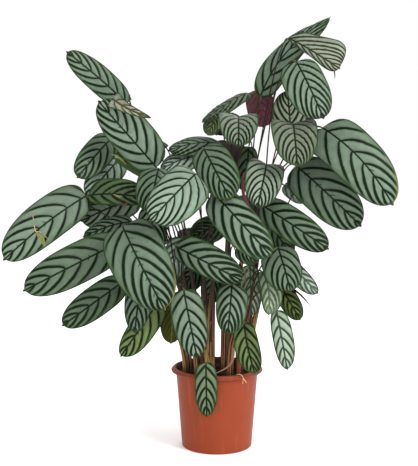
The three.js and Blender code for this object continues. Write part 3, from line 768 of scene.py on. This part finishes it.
def pot(material):
    """The nursery pot with its rolled rim, thin wall and drain holes"""
    profile = [
        (BASE_RADIUS - BASE_ROUND - 6, 0.4),
        (BASE_RADIUS - BASE_ROUND - 5, 0),
        *arc((BASE_RADIUS - BASE_ROUND, BASE_ROUND), BASE_ROUND, -90, 0, 5),
        (NECK_RADIUS - 0.3, RIM_LOW - 3),
        (NECK_RADIUS, RIM_LOW),
        (NECK_RADIUS + 3, RIM_LOW + 0.4),
        *arc((RIM_RADIUS - BEAD_ROUND, RIM_LOW + 3.6), BEAD_ROUND, -60, 20, 7),
        *arc((RIM_RADIUS - 7, POT_HEIGHT - LIP_ROUND), LIP_ROUND, 10, 110, 8),
        (RIM_MOUTH - 1, POT_HEIGHT - 2.5),
        (RIM_MOUTH - 2.4, POT_HEIGHT - 6),
        (NECK_RADIUS - POT_WALL, RIM_LOW - 2),
        (BASE_RADIUS - POT_WALL, POT_FLOOR + 3),
        (BASE_RADIUS - POT_WALL - 3, POT_FLOOR),
    ]
    piece = turned("pot_looks", profile, POT_SIDES, material)
    for place in ring(DRAIN_CIRCLE, 0, DRAIN_HOLES, 0.5):
        bpy.ops.mesh.primitive_cylinder_add(
            vertices=DRAIN_SIDES,
            radius=DRAIN_RADIUS * MM,
            depth=4 * POT_FLOOR * MM,
            location=Vector(place) * MM,
        )
        drill = bpy.context.object
        cut = piece.modifiers.new("drain", "BOOLEAN")
        cut.object = drill
        cut.operation = "DIFFERENCE"
        cut.solver = "EXACT"
        bpy.context.view_layer.objects.active = piece
        bpy.ops.object.modifier_apply(modifier=cut.name)
        bpy.data.objects.remove(drill)
    piece.data.shade_smooth()
    piece.data.set_sharp_from_angle(angle=math.radians(SHARP_ANGLE))
    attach(piece, "root")
    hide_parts("pot")


def soil_height(x, y):
    """The height of the rough soil at a place"""
    height = SOIL_TOP - 1 + CROWN * (1 - (math.hypot(x, y) / SOIL_EDGE) ** 2)
    for scale, rise, level in (LUMPS, GRAINS):
        height += rise * noise.noise(Vector((x * scale, y * scale, level)))
    return height


def soil(material):
    """The potting mix: a rough top with crumbs, and plain sides and underside within the pot"""
    random.seed(SEED)
    points = []
    for row in range(1, SOIL_RINGS + 1):
        for x, y, _ in ring(SOIL_EDGE * row / SOIL_RINGS, 0, SOIL_SIDES, 0.5 * (row % 2)):
            points.append((x, y, soil_height(x, y)))
    for radius in (BASE_RADIUS - POT_WALL - SOIL_GAP, SOIL_HUB):
        points += ring(radius, POT_FLOOR + SOIL_LIFT, SOIL_SIDES)
    rings = neighbours(SOIL_RINGS + 1, SOIL_SIDES)
    faces = [(a, a + SOIL_SIDES, b + SOIL_SIDES, b) for a, b in rings]
    faces.append(tuple(range(SOIL_SIDES)))
    faces.append(tuple(range(len(points) - 1, len(points) - 1 - SOIL_SIDES, -1)))
    for _ in range(CRUMBS):
        distance = (SOIL_EDGE - CRUMB_INSET) * math.sqrt(random.random())
        angle = random.uniform(0, 2 * math.pi)
        x = distance * math.cos(angle)
        y = distance * math.sin(angle)
        add_crumb(points, faces, (x, y, soil_height(x, y)), random.uniform(*CRUMB_SIZES))
    piece = meshed("soil_looks", points, faces, material)
    piece.data.shade_smooth()
    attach(piece, "root")
    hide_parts("soil")


def add_crumb(points, faces, place, size):
    """A small lump: a squashed eight-sided solid with uneven corners"""
    first = len(points)
    turn = random.uniform(0, math.pi)
    flat = random.uniform(*CRUMB_FLATNESS)
    corners = ((1, 0, 0), (0, 1, 0), (-1, 0, 0), (0, -1, 0), (0, 0, 1), (0, 0, -1))
    for x, y, z in corners:
        reach = size * random.uniform(*CRUMB_UNEVENNESS)
        points.append((
            place[0] + reach * (x * math.cos(turn) - y * math.sin(turn)),
            place[1] + reach * (x * math.sin(turn) + y * math.cos(turn)),
            place[2] + reach * z * flat + size * CRUMB_LIFT,
        ))
    for a, b in neighbours(1, 4):
        faces.append((first + a, first + b, first + 4))
        faces.append((first + b, first + a, first + 5))


class Graph:
    """One material's nodes, made by short calls"""

    def __init__(self, name, roughness, gloss):
        self.material = bpy.data.materials.new(name)
        self.material.use_nodes = True
        self.tree = self.material.node_tree
        self.shader = self.tree.nodes["Principled BSDF"]
        self.shader.inputs["Roughness"].default_value = roughness
        self.shader.inputs["Specular IOR Level"].default_value = gloss

    def node(self, kind, inputs=(), **settings):
        made = self.tree.nodes.new("ShaderNode" + kind)
        for key, value in settings.items():
            setattr(made, key, value)
        for key, value in dict(inputs).items():
            self.put(value, made.inputs[key])
        return made

    def put(self, value, socket):
        if isinstance(value, bpy.types.NodeSocket):
            self.tree.links.new(value, socket)
        else:
            socket.default_value = value

    def math(self, operation, *values):
        return self.node("Math", dict(enumerate(values)), operation=operation).outputs[0]

    def times(self, first, second):
        return self.math("MULTIPLY", first, second)

    def line(self, value, slope, start):
        return self.math("MULTIPLY_ADD", value, slope, start)

    def rest(self, share):
        """What a share leaves of 1"""
        return self.math("SUBTRACT", 1, share)

    def ease(self, value, low, high):
        made = self.node("MapRange", {0: value, 1: low, 2: high}, interpolation_type="SMOOTHSTEP")
        return made.outputs[0]

    def blend(self, share, first, second, way="MIX"):
        made = self.node("Mix", {0: share, 6: first, 7: second}, data_type="RGBA", blend_type=way)
        return made.outputs[2]

    def tint(self, base, tone):
        """A colour made lighter or darker by a factor"""
        grey = self.node("CombineColor", {0: tone, 1: tone, 2: tone}).outputs[0]
        return self.blend(1, base, grey, "MULTIPLY")

    def map(self, name):
        place = self.node("UVMap", uv_map=name).outputs[0]
        return self.node("SeparateXYZ", {0: place}).outputs[:2]

    def place(self, *values):
        return self.node("CombineXYZ", dict(enumerate(values))).outputs[0]

    def noise(self, scale, detail=2, place=None):
        if place is None:
            place = self.node("TexCoord").outputs["Object"]
        made = self.node("TexNoise", {"Vector": place, "Scale": scale, "Detail": detail})
        return made.outputs[0]

    def bump(self, height, distance, strength):
        made = self.node("Bump", {"Height": height, "Distance": distance, "Strength": strength})
        self.tree.links.new(made.outputs[0], self.shader.inputs["Normal"])

    def finish(self, base):
        self.put(base, self.shader.inputs["Base Color"])
        return self.material


LEAF_DEEP = colour(42, 59, 35)
# The pale end of the leaves' ground carries a bluish-white tinge of painted sheen
LEAF_PALE = colour(148, 165, 150)
LEAF_YELLOW = colour(112, 122, 46)
LEAF_TAN = colour(150, 144, 130)
LEAF_STRIPE = colour(7, 22, 4)
LEAF_EDGE = colour(24, 42, 18)
LEAF_FRINGE = colour(60, 86, 44)
TIP_BROWN = colour(66, 46, 30)
RIM_YELLOW = colour(106, 104, 48)


def stripe_places(g):
    """How far off the midrib, how many stripes from the base, and how near to a stripe's middle"""
    phase, across = g.map("leaf")
    off = g.math("ABSOLUTE", g.line(across, 2, -1))
    wobble = g.line(g.noise(28), 0.2, -0.1)
    turns = g.line(phase, PHASE_SCALE, wobble)
    near = g.math("ABSOLUTE", g.line(g.math("FRACT", turns), 2, -1))
    return off, turns, near


def leaf_top():
    """Sage green with dark curved stripes on either side of a dark midrib"""
    g = Graph("leaf_top", 0.42, 0.07)
    off, turns, near = stripe_places(g)
    pale, yellow = g.map("tone")
    thick, tan = g.map("stripes")
    off_rib, to_edge = g.map("edges")
    # Each stripe swells, then thins, on its way from the midrib, and it ends before the margin
    swell = g.times(off, g.line(off, -1.9, 2.1))
    reach = g.times(thick, g.math("ADD", swell, 0.56))
    reach = g.times(reach, g.line(g.noise(90), 0.5, 0.75))
    fade = g.rest(g.ease(off, 0.88, 0.98))
    stripe = g.ease(near, g.times(reach, 0.7), g.times(reach, 1.3))
    stripe = g.times(g.rest(stripe), fade)
    # Painted shade beside each stripe, turning to a painted highlight in the middle of the band between
    painted_stripe_shade = g.rest(g.ease(near, reach, g.math("ADD", reach, 0.35)))
    # Short ticks lie between the stripes, beside the midrib
    after = g.math("FRACT", g.math("ADD", turns, 0.5))
    other = g.math("ABSOLUTE", g.line(after, 2, -1))
    tick_end = g.line(g.noise(55), 0.7, -0.26)
    tick_share = g.math("DIVIDE", off, g.math("MAXIMUM", tick_end, 0.01))
    tick_width = g.times(thick, g.rest(tick_share))
    tick = g.rest(g.ease(other, g.times(tick_width, 0.7), g.times(tick_width, 1.6)))
    tick = g.times(tick, g.math("LESS_THAN", off, tick_end))
    rib = g.rest(g.ease(off_rib, 0.009, 0.027))
    dark = g.math("MAXIMUM", stripe, g.math("MAXIMUM", g.times(tick, 0.7), rib))
    # Weaker stripes on the palest leaves, among them the shaded leaves lifted by painted light
    dark = g.times(dark, g.line(g.ease(pale, 0.6, 1), -0.45, 1))
    # The ground is mottled and lined by its veins. Painted shade and highlight lie on its pleats, a
    # painted highlight brightens it towards the tip and painted shade darkens it towards the margin
    ground = g.blend(pale, LEAF_DEEP, LEAF_PALE)
    ground = g.blend(yellow, ground, LEAF_YELLOW)
    ground = g.blend(tan, ground, LEAF_TAN)
    mottle = g.line(g.noise(75, 4), 0.5, 0.76)
    veins = g.math("SINE", g.times(turns, 2 * math.pi * VEINS))
    tone = g.times(mottle, g.line(veins, 0.03, 1))
    tone = g.times(tone, g.line(painted_stripe_shade, -0.28, 1.12))
    # Painted shade across each pleat: bright just past one stripe, darker towards the next
    tone = g.times(tone, g.line(after, -0.34, 1.17))
    # Painted light: darker at the base and brighter towards the tip, where the arched blade faces the
    # light
    tone = g.times(tone, g.line(g.map("tips")[0], 0.34, 0.83))
    # Painted shade: darker towards the margin, where the domed blade curves away
    tone = g.times(tone, g.line(g.ease(off, 0.7, 1), -0.25, 1))
    ground = g.tint(ground, tone)
    stripe_colour = g.blend(g.ease(tan, 0.1, 1), LEAF_STRIPE, colour(96, 84, 58))
    base = g.blend(dark, ground, stripe_colour)
    # A thin dark edge, with a patchy green fringe inside it
    edge = g.rest(g.ease(to_edge, 0.013, 0.034))
    fringe = g.rest(g.ease(to_edge, 0.03, 0.13))
    fringe = g.times(fringe, g.ease(g.noise(14), 0.35, 0.65))
    base = g.blend(g.times(fringe, 0.4), base, LEAF_FRINGE)
    base = g.blend(g.times(edge, 0.85), base, LEAF_EDGE)
    base = worn_margin(g, base, to_edge)
    relief = g.line(veins, 0.25, g.times(dark, -0.6))
    g.bump(relief, VEIN_DEPTH, 0.6)
    return g.finish(base)


def worn_margin(g, base, to_edge):
    """Brown at the very tip and yellow along the margin of the leaves that have it"""
    along, wear = g.map("tips")
    _, across = g.map("leaf")
    rim = g.math("FLOOR", g.times(wear, 1 / RIM_STEP))
    brown = g.line(rim, -RIM_STEP, wear)
    ragged = g.line(g.noise(70), 0.05, -0.025)
    tip = g.ease(g.math("ADD", along, ragged), 0.955, 0.995)
    base = g.blend(g.times(tip, brown), base, TIP_BROWN)
    outer = g.rest(g.ease(g.math("ADD", to_edge, ragged), 0, 0.05))
    outer = g.times(outer, g.ease(along, 0.6, 0.95))
    outer = g.times(outer, g.rest(g.ease(across, 0.3, 0.6)))
    return g.blend(g.times(outer, rim), base, RIM_YELLOW)


def leaf_under():
    """The purple underside, with a paler midrib and faint veins"""
    g = Graph("leaf_under", 0.5, 0.07)
    _, turns, near = stripe_places(g)
    pale, yellow = g.map("tone")
    off_rib, _ = g.map("edges")
    vein = g.rest(g.ease(near, 0.1, 0.35))
    bright = g.ease(pale, 0.3, 0.8)
    base = g.blend(bright, colour(36, 21, 26), colour(104, 58, 70))
    base = g.blend(yellow, base, colour(60, 62, 16))
    veined = g.blend(bright, colour(24, 15, 18), colour(56, 28, 36))
    base = g.blend(g.times(vein, 0.7), base, veined)
    rib_colour = g.blend(yellow, colour(88, 56, 60), colour(84, 82, 40))
    base = g.blend(g.rest(g.ease(off_rib, 0.006, 0.02)), base, rib_colour)
    base = g.tint(base, g.line(g.noise(55, 4), 0.6, 0.7))
    g.bump(g.math("SINE", g.times(turns, 2 * math.pi * VEINS)), VEIN_DEPTH, 0.4)
    return g.finish(base)


def stalk():
    """Purple-brown sheaths with streaks at the bottom, turning to dark green stalks above"""
    g = Graph("stalk", 0.5, 0.1)
    along, around = g.map("leaf")
    _, kind = g.map("tone")
    height, travelled = g.map("edges")
    streak = g.noise(1, 3, g.place(g.times(around, 4.5), g.times(travelled, 4), g.times(kind, 30)))
    pale_cane = g.blend(g.ease(kind, 0.3, 0.5), colour(168, 128, 82), colour(132, 120, 66))
    pale_cane = g.blend(g.ease(kind, 0.55, 0.8), pale_cane, colour(128, 84, 62))
    low = g.blend(g.ease(streak, 0.44, 0.52), colour(50, 28, 23), pale_cane)
    high = g.blend(g.ease(streak, 0.35, 0.65), colour(20, 14, 12), colour(60, 50, 34))
    base = g.blend(g.ease(height, *CANE_TOP), low, high)
    knee = g.ease(along, KNEE_START, 0.97)
    base = g.blend(g.times(knee, 0.6), base, colour(80, 88, 48))
    foot = g.rest(g.ease(height, *STAINED_FOOT))
    base = g.blend(g.times(foot, 0.7), base, colour(42, 28, 22))
    g.bump(streak, 0.6 * MM, 0.8)
    return g.finish(base)


def dried():
    """Dried strips, each in its own colour, which its map holds"""
    g = Graph("dried", 0.7, 0.1)
    red, green = g.map("tone")
    blue, _ = g.map("stripes")
    base = g.node("CombineColor", {0: red, 1: green, 2: blue}).outputs[0]
    along, around = g.map("leaf")
    streak = g.noise(1, 3, g.place(g.times(around, 9), along))
    base = g.tint(base, g.line(streak, 1.4, 0.3))
    g.bump(streak, 0.6 * MM, 0.8)
    return g.finish(base)


def pot_plastic():
    """Terracotta-coloured plastic with faint scuffs and dust, and painted shade on its inside wall"""
    g = Graph("pot_plastic", 0.5, 0.1)
    place = g.node("TexCoord").outputs["Object"]
    east, north, height = g.node("SeparateXYZ", {0: place}).outputs
    base = g.blend(g.noise(22, 5), colour(124, 52, 29), colour(133, 59, 35))
    rim = g.ease(height, (RIM_LOW - 1.5) * MM, (RIM_LOW + 1.5) * MM)
    base = g.blend(g.times(rim, 0.5), base, colour(108, 54, 36))
    streaks = g.place(east, north, g.times(height, 0.12))
    dust = g.ease(g.noise(60, 5, streaks), 0.52, 0.75)
    base = g.blend(g.times(dust, 0.12), base, colour(190, 120, 92))
    # Painted shade on the inside wall, between the soil and the rim
    around = g.math("ADD", g.times(east, east), g.times(north, north))
    limit = g.times(g.math("GREATER_THAN", height, (RIM_LOW + 1) * MM), INSIDE_RIM)
    limit = g.math("MAXIMUM", limit, g.line(height, INSIDE_SLOPE, INSIDE_FOOT))
    inside = g.math("LESS_THAN", g.math("SQRT", around), limit)
    inside = g.times(inside, g.ease(height, *INSIDE_LOW))
    inside = g.times(inside, g.rest(g.ease(height, *INSIDE_HIGH)))
    base = g.blend(g.times(inside, 0.85), base, colour(44, 25, 19))
    g.put(g.line(g.noise(40, 4), 0.3, 0.3), g.shader.inputs["Roughness"])
    g.bump(g.noise(700, 3), 0.12 * MM, 0.35)
    return g.finish(base)


def soil_mix():
    """Dark brown potting mix with paler fibres and grains"""
    g = Graph("soil_mix", 0.95, 0.15)
    fine = g.noise(260, 6)
    base = g.blend(g.ease(fine, 0.35, 0.65), colour(30, 20, 15), colour(72, 50, 37))
    grains = g.ease(g.noise(420, 2), 0.68, 0.74)
    base = g.blend(g.times(grains, 0.7), base, colour(128, 100, 72))
    g.bump(fine, 2 * MM, 0.9)
    return g.finish(base)


CAMERA_PLACE = (-16.6, -2200, 688)
CAMERA_AIM = (-16.6, 0, 451)
CAMERA_ANGLE = 24.7
WHITE = (1, 1, 1, 1)

# Each lamp's name, place and aim in metres, size and power
LAMPS = (
    ("key", (1.8, -2.2, 2.3), (0, 0, 0.5), 1.2, 86),
    ("fill", (-0.4, -3.1, 1.3), (0, 0, 0.45), 1.4, 32),
    ("back", (0.8, 2.4, 2.2), (0, 0, 0.6), 1.4, 30),
    ("side", (2.2, -0.5, 0.6), (0, 0, 0.1), 0.8, 9),
)


def aimed(name, data, place, aim):
    """A camera or lamp put at a place and turned to its aim, both in metres"""
    made = placed(name, data)
    made.location = place
    made.rotation_euler = (Vector(aim) - Vector(place)).to_track_quat("-Z", "Y").to_euler()
    return made


def camera():
    """The photograph's viewpoint, in front of the plant and slightly above its middle"""
    data = bpy.data.cameras.new("camera")
    data.sensor_width = 36
    data.lens = data.sensor_width / 2 / math.tan(math.radians(CAMERA_ANGLE / 2))
    data.clip_end = 100
    bpy.context.scene.camera = aimed("camera", data, Vector(CAMERA_PLACE) * MM, Vector(CAMERA_AIM) * MM)


def studio():
    """A white floor and world, with square soft lamps"""
    bpy.ops.mesh.primitive_plane_add(size=40, location=(0, 0, 0))
    floor = bpy.context.object
    floor.name = "floor"
    floor.data.materials.append(Graph("floor", 0.9, 0).finish(WHITE))
    world = bpy.data.worlds.new("studio")
    world.use_nodes = True
    sky = world.node_tree.nodes["Background"].inputs
    sky["Color"].default_value = WHITE
    sky["Strength"].default_value = 1
    bpy.context.scene.world = world
    for name, place, aim, size, power in LAMPS:
        data = bpy.data.lights.new(name, "AREA")
        data.size = size
        data.energy = power
        aimed(name, data, place, aim)
    bpy.context.scene.view_settings.view_transform = "Standard"


leaf_materials = (leaf_top(), leaf_under(), stalk(), dried())
for stem in STEMS:
    leafy_stem(stem, leaf_materials)
pot(pot_plastic())
soil(soil_mix())
camera()
studio()
